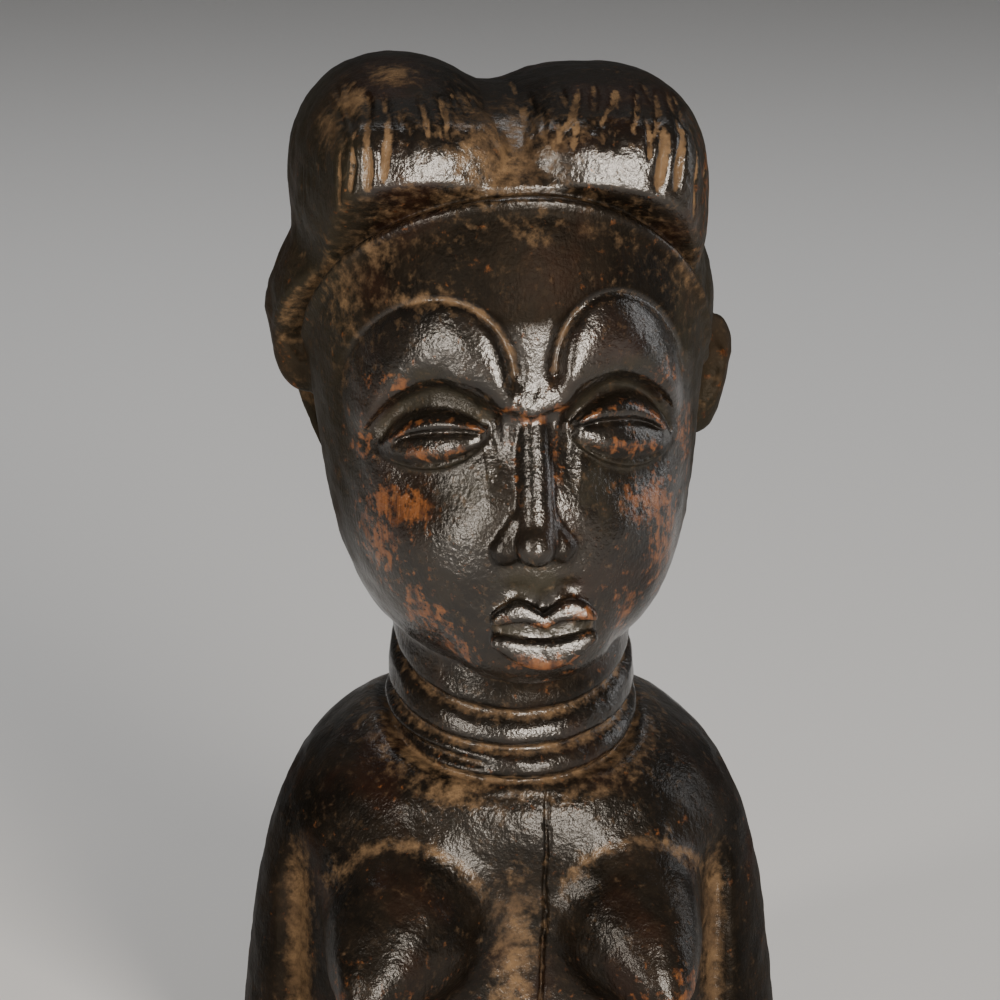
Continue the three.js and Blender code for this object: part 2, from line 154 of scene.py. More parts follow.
# Finishes, as linear colours
# The last patina colour is a painted grey sheen for the sides of the head
PATINA = dict(black=(0.0022, 0.0017, 0.0012), brown=(0.0062, 0.0044, 0.0029), red=(0.013, 0.0042, 0.0020),
              speck=(0.022, 0.014, 0.008), painted_side_sheen=(0.030, 0.026, 0.017))
BARE_WOOD = dict(rubbed=(0.110, 0.040, 0.012), streak=(0.026, 0.0095, 0.0045), speck=(0.19, 0.088, 0.032))
EARTH = dict(tan=(0.130, 0.083, 0.045), brown=(0.070, 0.045, 0.026))
# Grey of the ash, also used for a painted grey sheen on the right temple
ASH_AND_SHEEN_GREY = (0.026, 0.024, 0.017)
OIL = dict(tint=(1.0, 0.88, 0.74), wood_gloss=0.08, coat_roughness=0.21, coat_index=1.5)
RELIEF = dict(strength=0.65, height=0.0003, pores=0.35, crumbs=0.9)

# How fully each covering hides what is below it
COVERING = dict(worn=0.9, ash_and_sheen=0.6, dust=0.84)

# Flakes of each covering: scale, raggedness and softness of its edge
FLAKES = dict(worn=(520, 1.3, 0.2), dust=(480, 0.95, 0.4), thin_dust=(480, 0.6, 0.3), ash_and_sheen=(260, 0.6, 0.42))


# Soft shapes
def clamp(a, lo=0.0, hi=1.0):
    return np.minimum(np.maximum(a, lo), hi)


def step(a, lo, hi):
    t = clamp((a - lo) / (hi - lo))
    return t * t * (3 - 2 * t)


def mix(a, b, t):
    return a + (b - a) * t


def bump(distance, width):
    return np.exp(-(distance / width) ** 2)


def join(a, b, k):
    h = clamp(0.5 + 0.5 * (b - a) / k)
    return mix(b, a, h) - k * h * (1 - h)


def meet(a, b, k):
    return -join(-a, -b, k)


def ellipsoid(x, y, z, centre, radii):
    q = [(value - c) / r for value, c, r in zip((x, y, z), centre, radii)]
    inner = np.sqrt(q[0] ** 2 + q[1] ** 2 + q[2] ** 2) + 1e-6
    outer = np.sqrt((q[0] / radii[0]) ** 2 + (q[1] / radii[1]) ** 2 + (q[2] / radii[2]) ** 2) + 1e-6
    return inner * (inner - 1) / outer


def block(x, y, z, centre, radii, roundness, scale):
    q = sum(np.abs((value - c) / r) ** roundness for value, c, r in zip((x, y, z), centre, radii))
    return (q ** (1 / roundness) - 1) * scale


def capsule(x, y, z, start, end, start_radius, end_radius):
    way = [b - a for a, b in zip(start, end)]
    length = sum(w * w for w in way)
    offset = [value - a for value, a in zip((x, y, z), start)]
    t = clamp(sum(o * w for o, w in zip(offset, way)) / length)
    gap = sum((o - t * w) ** 2 for o, w in zip(offset, way))
    return np.sqrt(gap) - mix(start_radius, end_radius, t), t


def oval(u, w, centre_u, centre_w, half_u, half_w):
    q = np.sqrt(((u - centre_u) / half_u) ** 2 + ((w - centre_w) / half_w) ** 2) + 1e-6
    g = np.sqrt(((u - centre_u) / half_u ** 2) ** 2 + ((w - centre_w) / half_w ** 2) ** 2) + 1e-6
    return q * (q - 1) / g


# Places on the head: turned a little on the neck, and the face rolled a little to one side
def head_place(x, y, z):
    c = math.cos(math.radians(HEAD_TURN))
    s = math.sin(math.radians(HEAD_TURN))
    x = x - HEAD["x"]
    return c * x + s * y, c * y - s * x, z


def face_place(x, y, z):
    c = math.cos(math.radians(FACE_ROLL))
    s = math.sin(math.radians(FACE_ROLL))
    dz = z - FACE_Z
    return c * x + s * dz, y, c * dz - s * x + FACE_Z


# Distance above the hairline, which falls towards the back and dips on one side
def hairline_gap(x, y, z):
    above = z - HAIRLINE["z"] + HAIRLINE["fall"] * y + HAIRLINE["right_dip"] * np.maximum(x, 0) ** 2
    return above * HAIRLINE["square_to_line"]


def brow_lines(x, z):
    ax = np.abs(x)
    rim = oval(ax + BROW["rim_lean"] * (z - BROW["rim_z"]), z, BROW["rim_x"], BROW["rim_z"], *BROW["rim"])
    middle, half = (np.where(x < 0, a, b) for a, b in zip(BROW_LINES["left"], BROW_LINES["right"]))
    leaning = ax + BROW_LINES["lean"] * (z - BROW_LINES["z"])
    return rim, oval(leaning, z, middle, BROW_LINES["z"], half, BROW_LINES["height"])


# Place on an eye: u across it, s up it from the lower to the upper lid edge
def eye_place(x, z):
    names = ("x", "z", "half_width", "up", "down", "slant")
    eye_x, eye_z, half, up, down, slant = (np.where(x < 0, EYES[0][name], EYES[1][name]) for name in names)
    across = np.abs(x) - eye_x
    u = across / half
    arc = clamp(1 - u * u)
    top = up * arc ** 0.75 * (1 + 0.25 * u)
    low = -down * arc ** 0.85
    s = (z - eye_z + slant * across - low) / np.maximum(top - low, 2.4)
    return u, s, arc


def skull(x, y, z):
    s = (z - HEAD["z"]) / np.where(z > HEAD["z"], HEAD["up"], HEAD["down"])
    low = clamp(-s)
    high = clamp(s)
    width = HEAD["half_width"] - HEAD["cheek"] * np.sin(math.pi * low) + 1.5 * high
    dy = y + HEAD["chin"] * low ** 1.5
    depth = np.where(dy < 0, HEAD["front"] + 1.2 * high, HEAD["back"])
    value = (x / width) ** 2 + (dy / depth) ** 2 + np.abs(s) ** 3.2 - 1
    half = np.where(z > HEAD["z"], HEAD["up"], HEAD["down"])
    slope = np.sqrt((x / width ** 2) ** 2 + (dy / depth ** 2) ** 2 + (1.6 * np.abs(s) ** 2.2 / half) ** 2)
    return value / (2 * slope + 1e-4)


# Two broad brow rolls with a panel between them, a line cut above each and a hollow for the eye below
def brows(d, x, z, front):
    rim, line = brow_lines(x, z)
    ax = np.abs(x)
    t = clamp(rim / np.maximum(rim - line, 0.5))
    roll = np.maximum(np.sin(math.pi * t ** 0.8), 0) ** 0.8 * step(z, 124, 135) * step(rim - line, 0.5, 6)
    beside_panel = step(11.5 - ax, 0, 4) * step(z, 141, 145) * step(157 - z, 0, 3)
    cut = (0.55 + 0.85 * beside_panel) * bump(line - 0.2, 0.9 + 0.35 * beside_panel) * step(z, 137, 143)
    softer = step(136 - z, 0, 9)
    hollow = step(-rim, -0.9 - 1.5 * softer, 2.6 + 5.5 * softer) * step(z, 108, 122) * step(32 - ax, 0, 12)
    hollow = hollow * (0.8 + 1.9 * step(z, 116, 136))
    return d + (cut + hollow - BROW["rise"] * roll) * front


# An almond eye: upper lid roll, a fold, the eyeball in its slit and a thin lower rim
def eyes(d, x, z, front):
    u, s, arc = eye_place(x, z)
    inside = step(1.04 - np.abs(u), 0, 0.3) * front
    within = step(s, -0.12, 0.1) * step(1.12 - s, 0, 0.16)
    middle = step(0.85 - np.abs(u), 0, 0.35)
    dome = np.maximum(1 - (2 * clamp(s, 0, 1) - 1) ** 2, 0) ** 0.5 * arc ** 0.5
    relief = EYE_BULGE * dome + 0.7 * within * arc ** 0.3 + 1.3 * bump(s - 0.85, 0.15)
    relief = relief - 1.15 * bump(s - 0.66, 0.055) * middle + 0.3 * bump(s - 0.4, 0.14) * middle
    relief = relief - 0.5 * bump(s - 0.13, 0.055) * middle + 0.5 * bump(s - 0.04, 0.05)
    return d - relief * within * inside


# A long straight bridge on a broad, flat base with a ball at its tip and a wing on each side
def nose(d, x, y, z):
    root, tip = NOSE["root"], NOSE["tip"]
    t = clamp((z - tip[2]) / (root[2] - tip[2]))
    half = mix(*NOSE["half_width"], t)
    across = (x - mix(tip[0], root[0], t)) / half
    along = (y - mix(tip[1], root[1], t)) / mix(*NOSE["deep"], t) - 1
    power = NOSE["roundness"]
    bridge = ((np.abs(across) ** power + np.abs(along) ** power) ** (1 / power) - 1) * half * 0.9
    d = join(d, meet(bridge, np.abs(z - NOSE["middle_z"]) - NOSE["half_length"], 1.2), 0.6)
    base = NOSE_TIP["base"]
    tip_form = ellipsoid(x, y, z, NOSE_TIP["ball"], NOSE_TIP["ball_reach"])
    for side in (-1, 1):
        ends = [(base[0] + side * out, base[1] + forward, base[2] + up)
                for out, forward, up in (NOSE_TIP["wing_top"], NOSE_TIP["wing_low"])]
        wing, _ = capsule(x, y, z, *ends, *NOSE_TIP["wing_radii"])
        tip_form = join(tip_form, wing, 1.5)
    return join(d, meet(tip_form, base[2] - NOSE_TIP["under"] - z, 1.0), 0.5)


# Two lips stand on one raised block: the upper one dips to a notch, the lower one is a full crescent
def mouth(d, x, y, z):
    mx = x - MOUTH["x"]
    am = np.abs(mx)
    dz = z - MOUTH["z"]
    front = step(-y, 38, 40.5)
    wells = bump(am - 4.6, 2.4) * bump(dz - 8.4, 1.7)
    wells = wells + 0.6 * bump(mx, 1.1) * step(dz, 3.4, 4.6) * step(9.5 - dz, 0, 3)
    d = d + 0.9 * wells * front
    size = (MOUTH["half_width"], MOUTH["y"] - MOUTH["band"], MOUTH["half_height"])
    raised = z - 0.022 * mx * mx * step(-dz, 0, 3)
    d = join(d, block(mx, y, raised, (0, MOUTH["y"], MOUTH["z"]), size, 4, 6), 0.5)

    def lip(apex, up, down):
        half = np.where(dz > apex, up, down)
        q = (am / (MOUTH["half_width"] + 0.2)) ** 5 + (np.abs(dz - apex) / half) ** 3
        q = q + np.abs((y - MOUTH["band"] - 0.6) / MOUTH["lip_depth"]) ** 3
        return (q ** (1 / 3) - 1) * 2.4

    rise = 1.5 * np.sin(clamp(am / 4.7) * math.pi / 2) - 0.04 * np.maximum(am - 4.7, 0) ** 2
    upper = lip(1.9 + rise, 2.0 + 1.1 * bump(am - 4.9, 3), 1.1)
    lower = lip(0.024 * mx * mx - 3.7, 2.7, np.maximum(3.1 - 0.03 * mx * mx, 1.0))
    return join(join(d, upper, 0.25), lower, 0.25)


def face(x, y, z):
    d = skull(x, y, z)
    x, y, z = face_place(x, y, z)
    ax = np.abs(x)
    front = step(-y, 4, 18)
    for swell in (CHIN, MUZZLE):
        d = join(d, ellipsoid(x, y, z, swell["centre"], swell["reach"]), swell["blend"])
    d = brows(d, x, z, front)
    sunk = step(BROW_FOLD["sunk_below"] + 0.35 * ax - z, 0, 1.2) * step(z, 120, 131) * step(9 - ax, 0, 3)
    d = d + BROW_FOLD["sunk"] * sunk * front
    fold, _ = capsule(ax, y, z, BROW_FOLD["outer"], BROW_FOLD["middle"], *BROW_FOLD["radii"])
    d = join(d, fold, BROW_FOLD["blend"])
    d = eyes(d, x, z, front)
    d = nose(d, x, y, z)
    return mouth(d, x, y, z)


# Hair over the crown, sides and nape, with a crest from front to back on each side of a valley
def hair_mass(x, y, z):
    d = block(x, y, z, *HAIR["crown"], 2.4, 30)
    high = HAIR["crest_half_height"]
    for crest in CRESTS:
        centre = (crest["x"], 3.5, crest["top"] - high)
        reach = (crest["half_width"], HAIR["crest_half_depth"], high)
        d = join(d, block(x, y, z, centre, reach, crest["roundness"], 22), 2.5)
        front = (crest["x"] * 0.95, *HAIR["front_place"])
        d = join(d, block(x, y, z, front, HAIR["front_reach"], 3.2, 12), 2.5)
    d = join(d, ellipsoid(x, y, z, *HAIR["sides"]), 3)
    return join(d, ellipsoid(x, y, z, *HAIR["nape"]), 9)


# An ear is a tapered flap that leans forward from the head, hollowed at its front
def ear(d, x, y, z, size):
    half = (size["top"] - size["low"]) / 2
    dz = z - (size["top"] + size["low"]) / 2
    wide = EAR_FLAP["half_width"]
    dx = x * size["side"] - (size["reach"] - wide) + 0.2 * np.maximum(4 - dz, 0)
    dy = y - EAR_FLAP["y"] - EAR_FLAP["forward"] * dx + EAR_FLAP["back_lean"] * dz
    flap = block(dx, dy, dz, (0, 0, 0), (wide, EAR_FLAP["thick"], half), 3.2, 4)
    hollow_reach = (*EAR_HOLLOW["reach"], half * EAR_HOLLOW["share_of_height"])
    hollow = ellipsoid(dx, dy, dz, EAR_HOLLOW["centre"], hollow_reach)
    return join(d, meet(flap, -hollow, 0.8), 1.2)


def head(x, y, z):
    x, y, z = head_place(x, y, z)
    d = face(x, y, z)
    gap = hairline_gap(x, y, z)
    behind = y - HAIRLINE["behind_ear"] + (z - 150) * 0.1
    covered = np.maximum(gap - 2.1, np.minimum(behind, z - HAIRLINE["nape"]))
    d = join(d, meet(hair_mass(x, y, z), -covered, 1.4), 0.9)
    d = d - 1.3 * bump(gap + 0.5, 1.5) * step(10 - y, 0, 8)
    d = d + 1.1 * bump(gap - 2.0, 0.75) * step(10 - y, 0, 8)
    for size in EARS:
        d = ear(d, x, y, z, size)
    return d


def neck_gap(x, y, z, groove):
    rise = NECK_BASE_SIDE_RISE * clamp(x / 25, -1.1, 1.1) ** 4 if groove is NECK_GROOVES[0] else 0
    return (z - rise - groove[0] - groove[1] * y) / math.sqrt(1 + groove[1] ** 2)


def neck_column(x, y, z, wider):
    t = clamp((z - NECK["z"][0]) / (NECK["z"][1] - NECK["z"][0]))
    width = mix(*NECK["half_width"], t) + wider
    depth = mix(*NECK["half_depth"], t) + wider
    across = (x - NECK["x"]) / width
    along = (y - mix(*NECK["y"], t)) / depth
    return (np.sqrt(across ** 2 + along ** 2) - 1) * NECK["scale"]


def neck(x, y, z):
    d = np.maximum(neck_column(x, y, z, 0), np.abs(z - NECK["middle_z"]) - NECK["half_length"])
    for groove in NECK_GROOVES:
        deep = step(-x, 0, 12) if groove is NECK_GROOVES[1] else 1
        d = d + NECK["groove"] * deep * bump(neck_gap(x, y, z, groove), NECK["groove_width"])
    return d


# A breast is a long cone that points outward and a little down
def breast(x, y, z, shape):
    root = np.array(shape["root"], float)
    way = np.array(shape["tip"], float) - root
    length = np.linalg.norm(way)
    way = way / length
    offset = (x * shape["side"] - root[0], y - root[1], z - root[2])
    along = sum(o * w for o, w in zip(offset, way))
    around = np.sqrt(np.maximum(sum(o * o for o in offset) - along ** 2, 0))
    steps = np.linspace(0, 1, len(BREAST_TAPER)) ** 0.86
    radius = shape["radius"] * np.interp(along / length, steps, BREAST_TAPER)
    side = (around - radius) * 0.8
    return meet(meet(side, along - length, 1.5), -along - 6, 1.5)


def furrow_gap(x):
    return np.minimum(np.abs(x - FURROW["left"]), np.abs(x - FURROW["right"]))


def torso(x, y, z):
    ax = np.abs(x - TORSO["x"])
    level = z - TORSO["lean"] * (y - 2) * step(z, 35, 70)
    t = np.maximum(level - TORSO["mid_z"], 0) / (TORSO["top"] - TORSO["mid_z"])
    half = TORSO["half_width"] - TORSO["narrowing"] * (z - TORSO["mid_z"])
    middle = 1.5 + 4.5 * clamp(ax / 50) ** 2
    depth = TORSO["half_depth"] + TORSO["collar"] * t ** 3
    q = (ax / half) ** 2.8 + (np.abs(y - middle) / depth) ** 2.2 + t ** 4.4
    d = (q ** (1 / 2.6) - 1) * 26
    for shape in BREASTS:
        d = join(d, breast(x, y, z, shape), 4)
    down = step(FURROW["top"] - z, 0, 14)
    furrow = bump(furrow_gap(x), FURROW["width"]) * down
    d = d + furrow * (FURROW["front"] * step(-y, -4, 8) + FURROW["back"] * step(y, 10, 18))
    spine = SPINE["deep"] * bump(x - TORSO["x"], SPINE["width"])
    return d + spine * step(y, 10, 18) * step(SPINE["top"] - z, 0, 18)


def figure_form(x, y, z):
    base = NECK_GROOVES[0]
    above = meet(neck_column(x, y, z, 9), -neck_gap(x, y, z, base) - 0.4, 0.8)
    d = meet(torso(x, y, z), -above, 0.8)
    d = join(d, neck(x, y, z), 1.0)
    d = join(head(x, y, z), d, 1.0)
    return np.maximum(d, -z)


# The lattice is finer over the face and along the drying crack than at the back
def stations(*stretches):
    values = [np.arange(start, end - 1e-6, cell) for start, end, cell in stretches]
    return np.concatenate(values + [np.array([stretches[-1][1]])])


# A surface of squares, laid through the lattice cells that the form passes through
def carve_blank(form, xs, ys, zs):
    values = band_values(form, xs, ys, zs)
    inside = values < 0
    corners = [(i, j, k) for i in (0, 1) for j in (0, 1) for k in (0, 1)]
    shape = tuple(n - 1 for n in inside.shape)
    count = np.zeros(shape, np.int8)
    for i, j, k in corners:
        count += inside[i:i + shape[0], j:j + shape[1], k:k + shape[2]]
    cells = np.argwhere((count > 0) & (count < 8))
    index = np.full(shape, -1, np.int32)
    index[tuple(cells.T)] = np.arange(len(cells))
    at_corner = np.stack([values[tuple((cells + c).T)] for c in corners], 1)
    place = np.stack([np.stack([xs[cells[:, 0] + i], ys[cells[:, 1] + j], zs[cells[:, 2] + k]], 1)
                      for i, j, k in corners], 1)
    total = np.zeros((len(cells), 3))
    crossings = np.zeros(len(cells))
    for a in range(8):
        for b in range(a + 1, 8):
            if sum(abs(m - n) for m, n in zip(corners[a], corners[b])) != 1:
                continue
            va = at_corner[:, a]
            vb = at_corner[:, b]
            crossed = (va < 0) != (vb < 0)
            t = np.where(crossed, va / np.where(crossed, va - vb, 1), 0)
            total += (place[:, a] + (place[:, b] - place[:, a]) * t[:, None]) * crossed[:, None]
            crossings += crossed
    points = total / crossings[:, None]
    squares = [edge_squares(inside, index, axis) for axis in range(3)]
    return points, np.concatenate(squares)


def edge_squares(inside, index, axis):
    first = [slice(None)] * 3
    second = [slice(None)] * 3
    first[axis] = slice(0, -1)
    second[axis] = slice(1, None)
    near = inside[tuple(first)]
    edges = np.argwhere(near != inside[tuple(second)])
    a, b = [m for m in range(3) if m != axis]
    within = (edges[:, a] > 0) & (edges[:, b] > 0)
    within &= (edges[:, a] < index.shape[a]) & (edges[:, b] < index.shape[b])
    edges = edges[within]
    flip = near[tuple(edges.T)]
    if axis == 1:
        flip = ~flip
    ring = []
    for back_a, back_b in ((1, 1), (0, 1), (0, 0), (1, 0)):
        cell = edges.copy()
        cell[:, a] -= back_a
        cell[:, b] -= back_b
        ring.append(index[tuple(cell.T)])
    square = np.stack(ring, 1)
    return np.where(flip[:, None], square, square[:, ::-1])


# The form is worked out on a coarse lattice first, and then finely only near the surface
def band_values(form, xs, ys, zs, skip=4, reach=7.0):
    coarse = [np.append(values[::skip], values[-1]) for values in (xs, ys, zs)]
    grid = np.meshgrid(*coarse, indexing="ij")
    rough = form(*grid)
    picks = [np.minimum((np.arange(len(values)) + skip // 2) // skip, len(c) - 1)
             for values, c in zip((xs, ys, zs), coarse)]
    values = rough[np.ix_(*picks)]
    near = np.argwhere(np.abs(values) < reach)
    for start in range(0, len(near), 400000):
        part = near[start:start + 400000]
        values[tuple(part.T)] = form(xs[part[:, 0]], ys[part[:, 1]], zs[part[:, 2]])
    return values


def slope_of(form, points, reach=0.2):
    ways = np.eye(3) * reach
    rise = [form(*(points + way).T) - form(*(points - way).T) for way in ways]
    return np.stack(rise, 1) / (2 * reach)


def draw_onto(form, points, rounds, limit):
    for _ in range(rounds):
        slope = slope_of(form, points)
        steep = np.maximum((slope ** 2).sum(1), 0.05)
        move = -(form(*points.T) / steep)[:, None] * slope
        length = np.linalg.norm(move, axis=1, keepdims=True)
        points = points + move * np.minimum(1, limit / np.maximum(length, 1e-9))
    return points


# A slow, uneven wave over the surface, as a blade leaves it
def hand_wave(x, y, z, size, seed):
    turn = np.random.default_rng(seed)
    total = 0
    for _ in range(9):
        way = turn.normal(size=3)
        way = way / np.linalg.norm(way) * turn.uniform(0.7, 1.5) * 2 * math.pi / size
        total = total + np.sin(x * way[0] + y * way[1] + z * way[2] + turn.uniform(0, 6.28))
    return total / 3


# A point of the hair's front, found by going back from in front of it
def hair_front(x, z):
    way = np.linspace(-48, 10, 600)
    return x, way[np.argmax(hair_mass(np.full(600, x), way, np.full(600, z)) < 0)], z


# Short cuts roughen the tops of the lobes between the named strokes
def hair_strokes():
    turn = np.random.default_rng(SHORT_CUTS["seed"])
    strokes = []
    for x0, z0, x1, z1, width in HAIR_STROKES:
        ends = [hair_front(mix(x0, x1, t), mix(z0, z1, t)) for t in (-0.14, 0.5, 1.14)]
        strokes.append((ends, 0.74 * width, 0.45 + 0.5 * width))
    for crest in CRESTS:
        for _ in range(SHORT_CUTS["count"]):
            x = crest["x"] + turn.uniform(-0.78, 0.74) * crest["half_width"]
            z = turn.uniform(*SHORT_CUTS["z"])
            lean = turn.uniform(-0.3, 0.1) * np.sign(crest["x"] - x)
            length = turn.uniform(*SHORT_CUTS["length"])
            ends = [hair_front(x + lean * length * t, z - length * t) for t in (0, 0.5, 1)]
            strokes.append((ends, turn.uniform(0.6, 0.85), turn.uniform(0.45, 0.7)))
    return strokes


def stroke_depth(x, y, z, strokes):
    depth = np.zeros_like(x)
    for (a, b, c), width, deep in strokes:
        first, t1 = capsule(x, y, z, a, b, 0, 0)
        second, t2 = capsule(x, y, z, b, c, 0, 0)
        t = np.where(first < second, t1 / 2, 0.5 + t2 / 2)
        taper = np.sqrt(np.maximum(np.sin(math.pi * clamp(t, 0.03, 0.97)), 0))
        depth = np.maximum(depth, deep * taper * bump(np.minimum(first, second), width))
    return depth


# Fine combed lines on the hair of the sides and back
def comb_depth(x, y, z):
    around = np.arctan2(x, -(y - 6))
    place = around * 40 / COMB["pitch"] + 0.35 * hand_wave(x, y, z, 16, 5)
    line = 0.5 - 0.5 * np.cos(2 * math.pi * place)
    side = step(np.abs(around), 0.75, 1.1) * step(z, 112, 124) * step(194 - z, 0, 14)
    return COMB["deep"] * line ** 3 * side * step(hand_wave(x, y, z, 14, 6), -0.6, 0.5)


def hair_here(x, y, z):
    return np.maximum(step(hairline_gap(x, y, z), 2.2, 3.2), step(y, 14.5, 16.5) * step(z, 106, 110))


# The wood split as it dried, from below the neck down the chest
def crack_depth(x, y, z):
    middle = CRACK["x"] + CRACK["lean"] * z + 0.12 * np.sin(z * 0.5) + 0.08 * np.sin(z * 1.7)
    up = clamp(z / 62)
    split = mix(*CRACK["deep"], up) * bump(x - middle, mix(*CRACK["width"], up))
    return split * step(CRACK["top"] - z, 0, 8) * step(-y, 8, 16)


def carved_depth(points, strokes):
    x, y, z = points.T
    hx, hy, hz = head_place(x, y, z)
    on_head = step(z, 96, 104)
    hair = hair_here(hx, hy, hz) * on_head
    depth = (stroke_depth(hx, hy, hz, strokes) + comb_depth(hx, hy, hz)) * hair
    depth = depth + crack_depth(x, y, z)
    calm = mix(1.0, 0.45, step(-hy, 20, 30) * step(z, 88, 100) * (1 - hair))
    depth = depth + 0.10 * calm * hand_wave(x, y, z, 9, 1) + 0.05 * calm * hand_wave(x, y, z, 4, 2)
    return depth * step(z, 0.2, 1.5)


def figure_mesh():
    xs, ys, zs = (stations(*LATTICE[axis]) for axis in "xyz")
    points, squares = carve_blank(figure_form, xs, ys, zs)
    points = draw_onto(figure_form, points, 4, 0.5)
    outward = slope_of(figure_form, points)
    outward = outward / np.maximum(np.linalg.norm(outward, axis=1, keepdims=True), 1e-6)
    points = points - outward * carved_depth(points, hair_strokes())[:, None]
    points[:, 2] = np.where(points[:, 2] < 0.25, 0, points[:, 2])
    size = (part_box("figure")[1][2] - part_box("figure")[0][2]) / FIGURE_HEIGHT
    mesh = bpy.data.meshes.new("figure_carving")
    mesh.vertices.add(len(points))
    mesh.vertices.foreach_set("co", (points * size).ravel())
    mesh.loops.add(squares.size)
    mesh.loops.foreach_set("vertex_index", squares.ravel())
    mesh.polygons.add(len(squares))
    mesh.polygons.foreach_set("loop_start", np.arange(0, squares.size, 4))
    mesh.polygons.foreach_set("use_smooth", np.ones(len(squares), bool))
    mesh.update(calc_edges=True)
    mesh.validate()
    return mesh, size


# Halves the squares into triangles and thins them where the surface is flat
def thin_out(piece, most):
    modifier = piece.modifiers.new("thin", "DECIMATE")
    modifier.ratio = min(1, most / (2 * len(piece.data.polygons)))
    graph = bpy.context.evaluated_depsgraph_get()
    thinned = bpy.data.meshes.new_from_object(piece.evaluated_get(graph))
    piece.modifiers.clear()
    piece.data = thinned
    thinned.name = "figure_carving"


# Patches of each covering: centre, reach and strength. They lie in the face's own place, but those of
# DULL_PATCHES, on the neck and body, lie in the figure's
DUST_PATCHES = (
    ((-2.5, -31, 184), (13, 12, 10), 0.62),
    ((-2.0, -29, 190), (8, 14, 12), 0.75),
    ((-3.0, -33, 178), (12, 9, 4), 0.48),
    ((-19, -34, 158), (9, 7, 2.4), 0.48),
    ((-27, -26, 166), (8, 10, 5), 0.42),
    ((2, -36, 169), (4, 7, 1.4), 0.4),
    ((-31, -20, 158), (6, 12, 11), 0.42),
    ((30, -20, 160), (6, 12, 9), 0.38),
    ((-28.3, -17, 192.6), (2.8, 10, 3.2), 0.76),
    ((-32.2, -18, 187.4), (2.4, 10, 4.2), 0.74),
    ((-20.2, -14, 196.6), (3.8, 9, 1.7), 0.72),
    ((33, -14, 168), (5, 9, 6), 0.5),
)
ASH_AND_SHEEN_PATCHES = (
    ((-0.5, -43, 107), (7.5, 6, 3.2), 0.95),
    ((-11, -38, 122), (6, 7, 9), 0.6),
    ((10, -38, 122), (6, 7, 9), 0.6),
    ((-17, -36, 144.6), (11, 8, 2.4), 0.5),
    ((17, -36, 145), (11, 8, 2.6), 0.6),
    # This patch is a painted grey sheen on the right temple
    ((30, -22, 150), (5, 9, 16), 0.5),
)
WORN_PATCHES = (
    ((-23, -30, 120), (8.5, 9, 3.6), 0.95),
    ((-27, -27, 113), (4.5, 9, 8), 0.62),
    ((-20, -31, 101), (6, 9, 7), 0.6),
    ((-15, -34, 94.5), (7, 8, 4), 0.6),
    ((22, -32, 119), (9, 9, 5), 0.8),
    ((25, -29, 110), (6, 9, 10), 0.62),
    ((17, -34, 98), (4, 7, 9), 0.55),
    ((0, -41, 136.6), (3.5, 5, 1.3), 1.0),
    ((-5, -40, 138.2), (3.2, 5, 1.2), 0.8),
    ((5, -40, 138.2), (3.2, 5, 1.2), 0.9),
    ((-3.9, -40, 127), (1.1, 5, 8), 0.52),
    ((4, -40, 128), (1.2, 5, 9), 0.66),
    ((-1, -44, 91.5), (9, 6, 2.6), 0.85),
    ((7, -44, 100.5), (4, 5, 2.2), 0.75),
    ((1, -45, 99.2), (3, 5, 1.3), 0.8),
    ((-24, -32, 143), (8, 8, 2.5), 0.45),
    ((25, -30, 142), (7, 8, 3), 0.5),
    ((8, -41, 87), (7, 6, 2.4), 0.85),
    ((-29, -25, 131), (3, 8, 6), 0.5),
    ((31, -23, 128), (3, 8, 9), 0.55),
    ((35, -16, 176), (4, 12, 12), 0.55),
)
DULL_PATCHES = (
    ((-28, -30, 39), (9, 14, 7), 0.9),
    ((24, -30, 40), (11, 14, 8), 0.95),
    ((38, -12, 56), (12, 20, 12), 0.8),
    ((-38, -12, 56), (12, 20, 12), 0.95),
    ((4, -24, 85), (18, 10, 7), 1.0),
    ((10, -26, 50), (16, 12, 9), 0.75),
    ((-20, -20, 80), (9, 12, 9), 0.7),
)
DULL_FACE_PATCHES = (
    ((-5.6, -41, 113.6), (3, 6, 4.2), 0.95),
    ((4.2, -41, 113.6), (3, 6, 4.2), 0.95),
    ((0, -36, 107), (9, 6, 4), 0.8),
    ((19, -30, 104), (9, 9, 9), 0.7),
    ((0, -36, 85), (14, 9, 5), 0.7),
    ((-7, -38, 116), (5, 8, 8), 0.5),
    ((-17, -34, 121), (8, 8, 5.5), 0.9),
)


def patch_sum(x, y, z, patches):
    total = np.zeros_like(x)
    for centre, reach, strength in patches:
        q = sum(((value - c) / r) ** 2 for value, c, r in zip((x, y, z), centre, reach))
        total = np.maximum(total, strength * np.exp(-q))
    return total


# Where each point lies: on the figure, on the head, on the face and beside its features
def point_places(points):
    at = SimpleNamespace()
    at.x, at.y, at.z = points.T
    at.hx, at.hy, at.hz = head_place(at.x, at.y, at.z)
    at.fx, at.fy, at.fz = face_place(at.hx, at.hy, at.hz)
    at.on_head = step(at.z, 84, 92) * step(-at.hy + (at.hz - 84) * 0.9, 8, 18)
    at.front = step(-at.fy, 8, 20)
    at.chest = step(-at.y, 8, 14)
    at.hair = hair_here(at.hx, at.hy, at.hz) * step(at.z, 96, 104)
    at.gap = hairline_gap(at.hx, at.hy, at.hz)
    at.rim, at.line = brow_lines(at.fx, at.fz)
    at.u, at.s, _ = eye_place(at.fx, at.fz)
    at.in_eye = step(1.1 - np.abs(at.u), 0, 0.1) * step(at.s, -0.3, -0.1) * step(1.3 - at.s, 0, 0.2)
    at.in_eye = at.in_eye * at.front
    at.channel = step(-at.rim, -0.4, 2.4) * step(at.s, 0.98, 1.15) * step(at.fz, 122, 132)
    at.mouth_x = np.abs(at.fx - MOUTH["x"])
    at.patchy = 1 + 0.22 * hand_wave(at.x, at.y, at.z, 4, 8)
    return at


